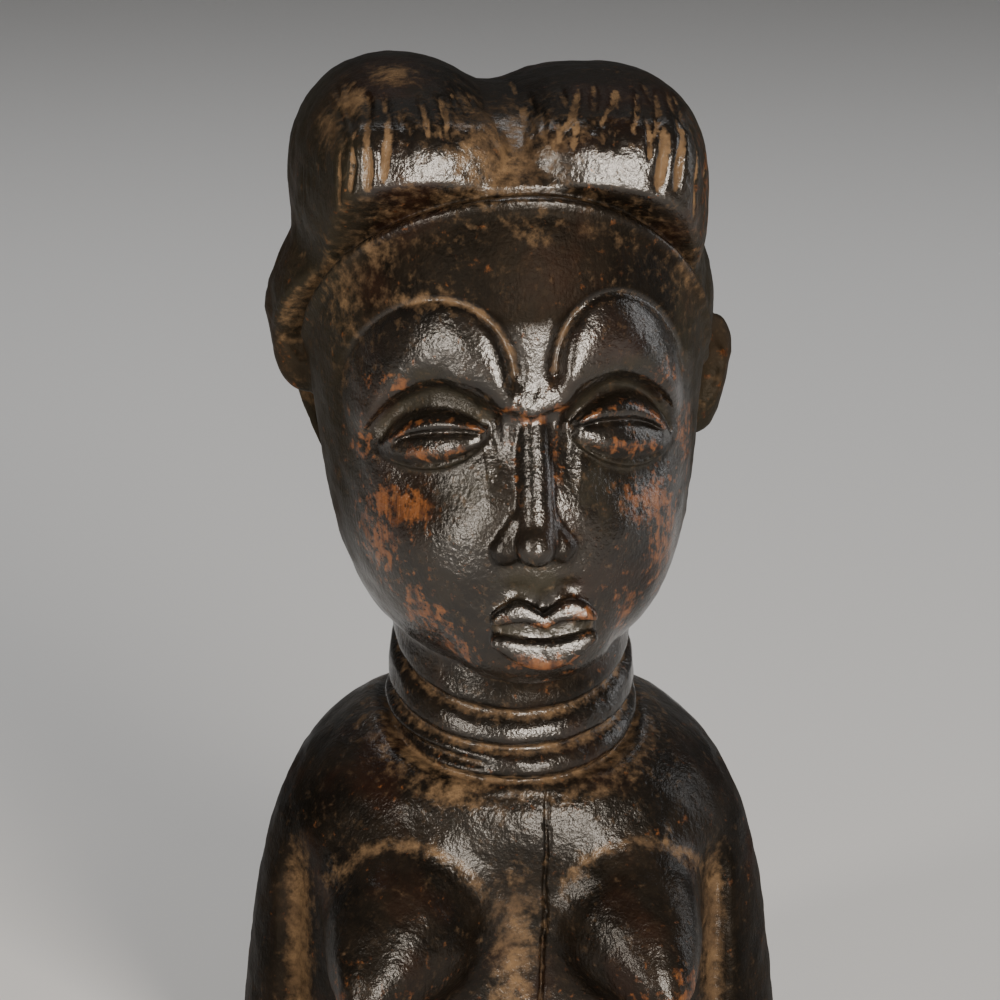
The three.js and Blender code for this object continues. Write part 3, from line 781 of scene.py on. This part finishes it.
# How deep a point lies in a hollow and how far it stands out on a ridge, felt near it and farther off
def hollow_and_ridge(points):
    slope = slope_of(figure_form, points)
    steep = np.maximum(np.linalg.norm(slope, axis=1), 1e-3)
    outward = slope / steep[:, None]
    hollow = 0
    ridge = 0
    for reach, share in ((1.6, 0.6), (4.0, 0.4)):
        out = figure_form(*(points + outward * reach).T) / (steep * reach)
        hollow = hollow + share * clamp(1.05 - out)
        back = -figure_form(*(points - outward * reach).T) / (steep * reach)
        ridge = ridge + share * clamp(1.05 - back)
    return hollow, ridge


# Soft drifts of earth: in every hollow, between the lobes, along the hairline and between the breasts
def dust_marks(at, hollow):
    on_face = step(-at.hy, 22, 30) * (1 - at.hair) * at.on_head
    dust = 0.46 * step(hollow, 0.25, 0.8) * (1 - 0.8 * at.in_eye) * (1 - 0.5 * on_face)
    shelf = bump(at.gap - 5, 3.6) * step(np.abs(at.hx + 1), 4, 13) * step(-at.hy, 8, 20) * at.on_head
    dust = np.maximum(dust * (1 - 0.8 * shelf), patch_sum(at.fx, at.fy, at.fz, DUST_PATCHES))
    dust = np.maximum(dust, 0.2 * bump(at.gap + 4, 1.8) * step(16 - at.hy, 0, 10) * at.on_head)
    lips = step(9.5 - at.mouth_x, 0, 1.5) * step(6.6 - np.abs(at.fz - MOUTH["z"]), 0, 0.8)
    dust = dust * (1 - 0.75 * lips * step(-at.fy, 42.2, 43))
    dust = np.maximum(dust, 0.62 * bump(at.x + 0.8, 4.2) * at.chest * step(58 - at.z, 0, 22))
    over_breast = oval(np.abs(at.x - TORSO["x"]), at.z, 21.3, 39, 15.5, 15.5)
    dust = np.maximum(dust, 0.52 * bump(over_breast, 1.3) * step(at.z, 40, 48) * step(-at.y, 8, 16))
    below_neck = bump(neck_gap(at.x, at.y, at.z, NECK_GROOVES[0]) + 2, 2.4)
    dust = np.maximum(dust, 0.3 * below_neck * (1 - at.on_head) * (1 - step(at.z, 76, 80)))
    beside_crack = np.exp(-((at.x + 12) / 5) ** 2 - ((at.z - 64) / 3) ** 2)
    return np.maximum(dust, 0.62 * beside_crack * at.chest)


# Sharper lines of earth: in hair strokes, the hairline crease, brow lines, arm furrows and neck grooves
def thin_dust_marks(at, strokes):
    named = stroke_depth(at.hx, at.hy, at.hz, strokes[:len(HAIR_STROKES)])
    short = stroke_depth(at.hx, at.hy, at.hz, strokes[len(HAIR_STROKES):])
    thin = 0.74 * step(named, 0.1, 0.34) * at.hair * at.patchy
    thin = np.maximum(thin, 0.66 * step(short, 0.1, 0.5) * at.hair)
    crease = np.maximum(0.58 * bump(at.gap - 1.5, 0.7), 0.3 * bump(at.gap - 2.7, 0.8))
    crease = crease * step(16 - at.hy, 0, 10) * at.on_head * (1 - 0.35 * step(at.hx, 4, 22))
    thin = np.maximum(thin, crease * at.patchy)
    beside_panel = step(12 - np.abs(at.fx), 0, 5) * step(at.fz, 142, 146)
    over_left = step(-at.fx, 4, 8) * step(at.fx + 24, 0, 6) * step(at.fz, 146, 150)
    line_dust = 0.22 + np.maximum(mix(0.4, 0.26, step(at.fx, 0, 4)) * beside_panel, 0.5 * over_left)
    brow = line_dust * bump(at.line - 0.3, 0.85) * step(at.fz, 140, 147) * at.front
    thin = np.maximum(thin, brow * at.patchy)
    thin = np.maximum(thin, 0.66 * bump(furrow_gap(at.x), 2.8) * step(62 - at.z, 0, 22) * step(-at.y, 0, 6))
    on_neck = step(-neck_column(at.x, at.y, at.z, 3.0), -1.5, 0.5) * (1 - at.on_head)
    for groove, strength in zip(NECK_GROOVES, (0.6, 0.5 * step(-at.x, 0, 12), 0.56, 0.5)):
        line = strength * bump(neck_gap(at.x, at.y, at.z, groove), 0.7)
        thin = np.maximum(thin, line * on_neck * at.patchy)
    return thin


# Grey ash: in the eye channels, under the lower lids, round the nose and between the lips; a painted grey
# sheen on the right temple
def ash_and_sheen_marks(at):
    ash_and_sheen = patch_sum(at.fx, at.fy, at.fz, ASH_AND_SHEEN_PATCHES) * at.front
    ash_and_sheen = np.maximum(ash_and_sheen, 0.6 * at.channel * at.front)
    ash_and_sheen = np.maximum(ash_and_sheen, 0.5 * bump(at.s - 0.02, 0.12) * step(1.05 - np.abs(at.u), 0, 0.2) * at.front)
    band = bump(at.fz - MOUTH["z"] - 0.4 - 0.012 * at.mouth_x * at.mouth_x, 1.1)
    return np.maximum(ash_and_sheen, 0.85 * band * step(10 - at.mouth_x, 0, 1) * step(-at.fy, 39, 41))


# Wood rubbed bare: cheeks, chin, lids, eyeballs, sharp ridges and the tips of the breasts
def worn_marks(at, hollow, ridge):
    worn = patch_sum(at.fx, at.fy, at.fz, WORN_PATCHES) * at.front
    on_eye = step(1.02 - np.abs(at.u), 0, 0.15) * at.front
    lid_ends = step(np.abs(at.u + 0.05), 0.25, 0.6)
    lid = bump(at.s - 0.86, 0.13) * (0.2 + 0.5 * lid_ends)
    ball = bump(at.s - 0.32, 0.14) * 0.56 * step(0.75 - np.abs(at.u), 0, 0.3)
    worn = np.maximum(worn, np.maximum(lid, ball) * on_eye)
    worn = np.maximum(worn, 0.2 * step(ridge, 0.25, 0.7))
    for side, strength in ((-1, 0.6), (1, 0.95)):
        near = ((at.x - side * 30) / 10) ** 2 + ((at.y + 38) / 9) ** 2 + ((at.z - 24) / 8) ** 2
        worn = np.maximum(worn, strength * np.exp(-near))
    return worn * (1 - 0.7 * clamp(hollow))


# Where no hand polished the wood: forehead, hair tops, sides, shoulders, arms, channels and lower lids
def dull_marks(at):
    beyond_panel = np.maximum(step(np.abs(at.fx - 1) - 5.2, 0, 2), step(at.fz, 150, 155))
    forehead = step(at.line, 0.3, 1.6) * step(at.fz, 141, 146) * beyond_panel
    forehead = forehead * (1 - 0.9 * bump(at.gap - 0.3, 1.4)) * at.front * at.on_head * (1 - at.hair)
    dull = np.maximum(forehead, at.hair * step(at.hz, 186.5, 190))
    dull = np.maximum(dull, 0.8 * at.hair * step(np.abs(at.hx), 30, 35))
    body = 1 - step(at.z, 62, 80)
    dull = np.maximum(dull, body * mix(0.58, 0.95, step(np.abs(at.x - TORSO["x"]), 30, 44)))
    dull = np.maximum(dull, patch_sum(at.x, at.y, at.z, DULL_PATCHES) * (1 - at.on_head))
    dull = np.maximum(dull, patch_sum(at.fx, at.fy, at.fz, DULL_FACE_PATCHES) * at.on_head)
    dull = np.maximum(dull, step(np.abs(at.hx), 27, 34) * at.on_head)
    return np.maximum(dull, 0.6 * at.in_eye * step(0.35 - at.s, 0, 0.1) + 0.7 * at.channel * at.front)


def surface_marks(points, strokes):
    at = point_places(points)
    hollow, ridge = hollow_and_ridge(points)
    return dict(
        dust=dust_marks(at, hollow),
        thin_dust=thin_dust_marks(at, strokes),
        ash_and_sheen=ash_and_sheen_marks(at),
        worn=worn_marks(at, hollow, ridge),
        # Painted grey sheen over the sides of the head
        painted_side_sheen=step(np.abs(at.hx), 26, 36) * step(at.z, 84, 100),
        dull=clamp(dull_marks(at)),
    )


def write_marks(mesh, marks):
    for name, values in marks.items():
        layer = mesh.attributes.new(name, "FLOAT", "POINT")
        layer.data.foreach_set("value", np.asarray(values, np.float32))


# Material building
def new_group(name, inputs, outputs):
    group = bpy.data.node_groups.new(name, "ShaderNodeTree")
    for label, kind, default in inputs:
        socket = group.interface.new_socket(label, in_out="INPUT", socket_type=kind)
        if default is not None:
            socket.default_value = default
    for label, kind in outputs:
        group.interface.new_socket(label, in_out="OUTPUT", socket_type=kind)
    return group, group.nodes.new("NodeGroupInput"), group.nodes.new("NodeGroupOutput")


def node(tree, kind, label=None, **settings):
    made = tree.nodes.new(kind)
    if label:
        made.label = label
    for name, value in settings.items():
        setattr(made, name, value)
    return made


def noise(tree, vector, scale, detail=3.0, roughness=0.55, label=None):
    made = node(tree, "ShaderNodeTexNoise", label)
    made.inputs["Scale"].default_value = scale
    made.inputs["Detail"].default_value = detail
    made.inputs["Roughness"].default_value = roughness
    tree.links.new(vector, made.inputs["Vector"])
    return made.outputs["Fac"]


def math_node(tree, operation, first, second=None, third=None, clamped=False):
    made = node(tree, "ShaderNodeMath", operation=operation, use_clamp=clamped)
    for place, value in enumerate((first, second, third)):
        if value is None:
            continue
        if isinstance(value, (int, float)):
            made.inputs[place].default_value = value
        else:
            tree.links.new(value, made.inputs[place])
    return made.outputs[0]


def ramp(tree, value, low, high):
    made = node(tree, "ShaderNodeMapRange", interpolation_type="SMOOTHSTEP")
    tree.links.new(value, made.inputs["Value"])
    made.inputs["From Min"].default_value = low
    made.inputs["From Max"].default_value = high
    return made.outputs["Result"]


def blend(tree, amount, first, second):
    made = node(tree, "ShaderNodeMix", data_type="RGBA")
    for socket, value in ((made.inputs[0], amount), (made.inputs[6], first), (made.inputs[7], second)):
        if isinstance(value, (int, float)):
            socket.default_value = value
        elif isinstance(value, tuple):
            socket.default_value = (*value, 1)
        else:
            tree.links.new(value, socket)
    return made.outputs[2]


# Breaks a soft mask up into flakes and specks with ragged edges
def ragged_mask_group():
    group, entry, out = new_group("ragged mask", (
        ("Vector", "NodeSocketVector", None),
        ("Amount", "NodeSocketFloat", 0.0),
        ("Flake Scale", "NodeSocketFloat", 300.0),
        ("Raggedness", "NodeSocketFloat", 0.8),
        ("Softness", "NodeSocketFloat", 0.15),
    ), (("Mask", "NodeSocketFloat"),))
    coarse = noise(group, entry.outputs["Vector"], 1, 5, 0.65)
    group.links.new(entry.outputs["Flake Scale"], coarse.node.inputs["Scale"])
    centred = math_node(group, "SUBTRACT", coarse, 0.5)
    pushed = math_node(group, "MULTIPLY", centred, entry.outputs["Raggedness"])
    gained = math_node(group, "MULTIPLY_ADD", pushed, 2.0, entry.outputs["Amount"])
    low = math_node(group, "SUBTRACT", 0.5, entry.outputs["Softness"])
    high = math_node(group, "ADD", 0.5, entry.outputs["Softness"])
    edge = node(group, "ShaderNodeMapRange", interpolation_type="SMOOTHSTEP")
    group.links.new(gained, edge.inputs["Value"])
    group.links.new(low, edge.inputs["From Min"])
    group.links.new(high, edge.inputs["From Max"])
    group.links.new(edge.outputs["Result"], out.inputs["Mask"])
    return group


# Dark streaks and fine pores that run up and down the wood
def wood_grain_group():
    group, entry, out = new_group("wood grain", (
        ("Vector", "NodeSocketVector", None),
        ("Fineness", "NodeSocketFloat", 900.0),
    ), (("Streaks", "NodeSocketFloat"), ("Pores", "NodeSocketFloat")))
    squeeze = node(group, "ShaderNodeMapping")
    squeeze.inputs["Scale"].default_value = (1.0, 1.0, 0.09)
    group.links.new(entry.outputs["Vector"], squeeze.inputs["Vector"])
    broad = noise(group, squeeze.outputs["Vector"], 1, 4, 0.6)
    group.links.new(entry.outputs["Fineness"], broad.node.inputs["Scale"])
    group.links.new(ramp(group, broad, 0.4, 0.66), out.inputs["Streaks"])
    fine_scale = math_node(group, "MULTIPLY", entry.outputs["Fineness"], 2.6)
    fine = noise(group, squeeze.outputs["Vector"], 1, 2, 0.5)
    group.links.new(fine_scale, fine.node.inputs["Scale"])
    group.links.new(fine, out.inputs["Pores"])
    return group


def use_group(tree, group, vector, **values):
    made = node(tree, "ShaderNodeGroup", group.name)
    made.node_tree = group
    tree.links.new(vector, made.inputs["Vector"])
    for name, value in values.items():
        socket = made.inputs[name.replace("_", " ")]
        if isinstance(value, (int, float)):
            socket.default_value = value
        else:
            tree.links.new(value, socket)
    return made


def mark(tree, name):
    made = node(tree, "ShaderNodeAttribute", name)
    made.attribute_name = name
    return made.outputs["Fac"]


# Dark, handled patina with brown and reddish clouds, and a painted grey sheen at the sides of the head
def handled_patina(tree, place, clouds, specks):
    red = ramp(tree, noise(tree, place, 60, 3, 0.5, "red clouds"), 0.5, 0.7)
    dark = blend(tree, clouds, PATINA["black"], PATINA["brown"])
    dark = blend(tree, math_node(tree, "MULTIPLY", red, 0.5), dark, PATINA["red"])
    dark = blend(tree, math_node(tree, "MULTIPLY", specks, 0.25), dark, PATINA["speck"])
    grey = math_node(tree, "MULTIPLY", mark(tree, "painted_side_sheen"), 0.35)
    return blend(tree, grey, dark, PATINA["painted_side_sheen"])


# Wood that shows where hands wore the patina through
def bare_wood(tree, streaks, specks):
    bare = blend(tree, streaks, BARE_WOOD["rubbed"], BARE_WOOD["streak"])
    return blend(tree, math_node(tree, "MULTIPLY", specks, 0.35), bare, BARE_WOOD["speck"])


# A pebbled skin of old oil, with the grain and crumbs of dust on the wood below it
def fine_relief(tree, shader, place, pores, covered):
    skin = noise(tree, place, 1050, 3, 0.6, "pebbled skin")
    crumbs = math_node(tree, "MULTIPLY", noise(tree, place, 2600, 2, 0.6, "crumbs"), covered)
    height = math_node(tree, "MULTIPLY_ADD", pores, RELIEF["pores"], skin)
    height = math_node(tree, "MULTIPLY_ADD", crumbs, RELIEF["crumbs"], height)
    for relief_height, normal in ((height, "Normal"), (skin, "Coat Normal")):
        relief = node(tree, "ShaderNodeBump")
        relief.inputs["Strength"].default_value = RELIEF["strength"]
        relief.inputs["Distance"].default_value = RELIEF["height"]
        tree.links.new(relief_height, relief.inputs["Height"])
        tree.links.new(relief.outputs["Normal"], shader.inputs[normal])


def old_carved_wood():
    material = bpy.data.materials.new("old_carved_wood")
    material.use_nodes = True
    tree = material.node_tree
    shader = tree.nodes["Principled BSDF"]
    place = node(tree, "ShaderNodeTexCoord").outputs["Object"]
    ragged = ragged_mask_group()

    def flakes(name):
        scale, raggedness, softness = FLAKES[name]
        return use_group(tree, ragged, place, Amount=mark(tree, name), Flake_Scale=scale,
                         Raggedness=raggedness, Softness=softness).outputs["Mask"]

    grain = use_group(tree, wood_grain_group(), place, Fineness=700)
    clouds = ramp(tree, noise(tree, place, 95, 4, 0.6, "clouds"), 0.38, 0.68)
    specks = ramp(tree, noise(tree, place, 620, 3, 0.6, "specks"), 0.5, 0.75)
    worn = flakes("worn")
    dust = math_node(tree, "MAXIMUM", flakes("dust"), flakes("thin_dust"))
    ash_and_sheen = flakes("ash_and_sheen")

    # Patina with its painted grey sheen at the sides of the head, bare wood where it is worn through, then
    # grey ash with a painted grey sheen on the right temple, and tan earth on top
    patina = handled_patina(tree, place, clouds, specks)
    bare = bare_wood(tree, grain.outputs["Streaks"], specks)
    colour = blend(tree, math_node(tree, "MULTIPLY", worn, COVERING["worn"]), patina, bare)
    colour = blend(tree, math_node(tree, "MULTIPLY", ash_and_sheen, COVERING["ash_and_sheen"]), colour, ASH_AND_SHEEN_GREY)
    earth = blend(tree, clouds, EARTH["tan"], EARTH["brown"])
    colour = blend(tree, math_node(tree, "MULTIPLY", dust, COVERING["dust"]), colour, earth)
    tree.links.new(colour, shader.inputs["Base Color"])

    # An oily coat where handled, none where dust lies and where no hand reached
    covered = math_node(tree, "MAXIMUM", dust, math_node(tree, "MULTIPLY", ash_and_sheen, 0.75))
    matt = math_node(tree, "MAXIMUM", math_node(tree, "MULTIPLY", covered, 0.85), mark(tree, "dull"))
    coat = math_node(tree, "MULTIPLY_ADD", matt, -1.1, 1.0, clamped=True)
    tree.links.new(coat, shader.inputs["Coat Weight"])
    rough = math_node(tree, "MULTIPLY_ADD", clouds, 0.1, 0.5)
    rough = math_node(tree, "MULTIPLY_ADD", covered, 0.3, rough, clamped=True)
    tree.links.new(rough, shader.inputs["Roughness"])
    shader.inputs["Coat Roughness"].default_value = OIL["coat_roughness"]
    shader.inputs["Coat IOR"].default_value = OIL["coat_index"]
    shader.inputs["Specular IOR Level"].default_value = OIL["wood_gloss"]
    shader.inputs["Specular Tint"].default_value = (*OIL["tint"], 1)
    fine_relief(tree, shader, place, grain.outputs["Pores"], covered)
    return material


def plain_material(name, colour, roughness):
    material = bpy.data.materials.new(name)
    material.use_nodes = True
    shader = material.node_tree.nodes["Principled BSDF"]
    shader.inputs["Base Color"].default_value = (*colour, 1)
    shader.inputs["Roughness"].default_value = roughness
    return material


def carve_figure():
    mesh, size = figure_mesh()
    piece = bpy.data.objects.new("carved_figure", mesh)
    bpy.context.scene.collection.objects.link(piece)
    thin_out(piece, MOST_TRIANGLES)
    mesh = piece.data
    points = np.empty(len(mesh.vertices) * 3)
    mesh.vertices.foreach_get("co", points)
    write_marks(mesh, surface_marks(points.reshape(-1, 3) / size, hair_strokes()))
    mesh.materials.clear()
    mesh.materials.append(old_carved_wood())
    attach(piece, "root")
    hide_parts("figure")
    return size


# A pale floor that curves up behind the figure
def studio_floor():
    side, flat, bend = FLOOR["side"], FLOOR["flat"], FLOOR["bend"]
    profile = [(-side, 0.0), (flat, 0.0)]
    for a in np.linspace(0, math.pi / 2, 18)[1:]:
        profile.append((flat + bend * math.sin(a), bend - bend * math.cos(a)))
    profile.append((flat + bend, FLOOR["top"]))
    corners = [(x, y, z) for y, z in profile for x in (-side, side)]
    faces = [(2 * i, 2 * i + 1, 2 * i + 3, 2 * i + 2) for i in range(len(profile) - 1)]
    mesh = bpy.data.meshes.new("studio_floor")
    mesh.from_pydata(corners, [], faces)
    mesh.polygons.foreach_set("use_smooth", [True] * len(faces))
    mesh.materials.append(plain_material("pale_paper", (FLOOR["grey"],) * 3, FLOOR["rough"]))
    floor = bpy.data.objects.new("studio_floor", mesh)
    bpy.context.scene.collection.objects.link(floor)


def soft_box(name, place, target, width, height, power, colour):
    light = bpy.data.lights.new(name, "AREA")
    light.shape = "RECTANGLE"
    light.size = width
    light.size_y = height
    light.energy = power
    light.color = colour
    holder = bpy.data.objects.new(name, light)
    holder.location = place
    holder.rotation_euler = (Vector(target) - Vector(place)).to_track_quat("-Z", "Y").to_euler()
    bpy.context.scene.collection.objects.link(holder)


def studio_light():
    for settings in LIGHTS:
        soft_box(*settings)
    world = bpy.data.worlds.new("studio")
    world.use_nodes = True
    air = world.node_tree.nodes["Background"]
    air.inputs["Color"].default_value = (*(AIR["grey"],) * 3, 1)
    air.inputs["Strength"].default_value = AIR["strength"]
    bpy.context.scene.world = world


# The camera looks slightly down and from a little to the left, as in the photograph
def photo_camera(size):
    turn = math.radians(CAMERA["turn"])
    lift = math.radians(CAMERA["lift"])
    pixel = CAMERA["millimetres_a_pixel"] * size
    back = Vector((math.sin(turn) * math.cos(lift), -math.cos(turn) * math.cos(lift), math.sin(lift)))
    right = (-back).cross(Vector((0, 0, 1))).normalized()
    up = right.cross(-back)
    across = (PHOTO_WIDTH / 2 - CAMERA["foot_column"]) * pixel
    above = (CAMERA["foot_row"] - PHOTO_WIDTH / 2) * pixel
    camera = bpy.data.cameras.new("photo_camera")
    camera.sensor_width = SENSOR_WIDTH
    camera.lens = SENSOR_WIDTH * CAMERA["distance"] / (PHOTO_WIDTH * pixel)
    holder = bpy.data.objects.new("photo_camera", camera)
    holder.location = right * across + up * above + back * CAMERA["distance"]
    holder.rotation_euler = (-back).to_track_quat("-Z", "Y").to_euler()
    bpy.context.scene.collection.objects.link(holder)
    bpy.context.scene.camera = holder


size = carve_figure()
studio_floor()
studio_light()
photo_camera(size)
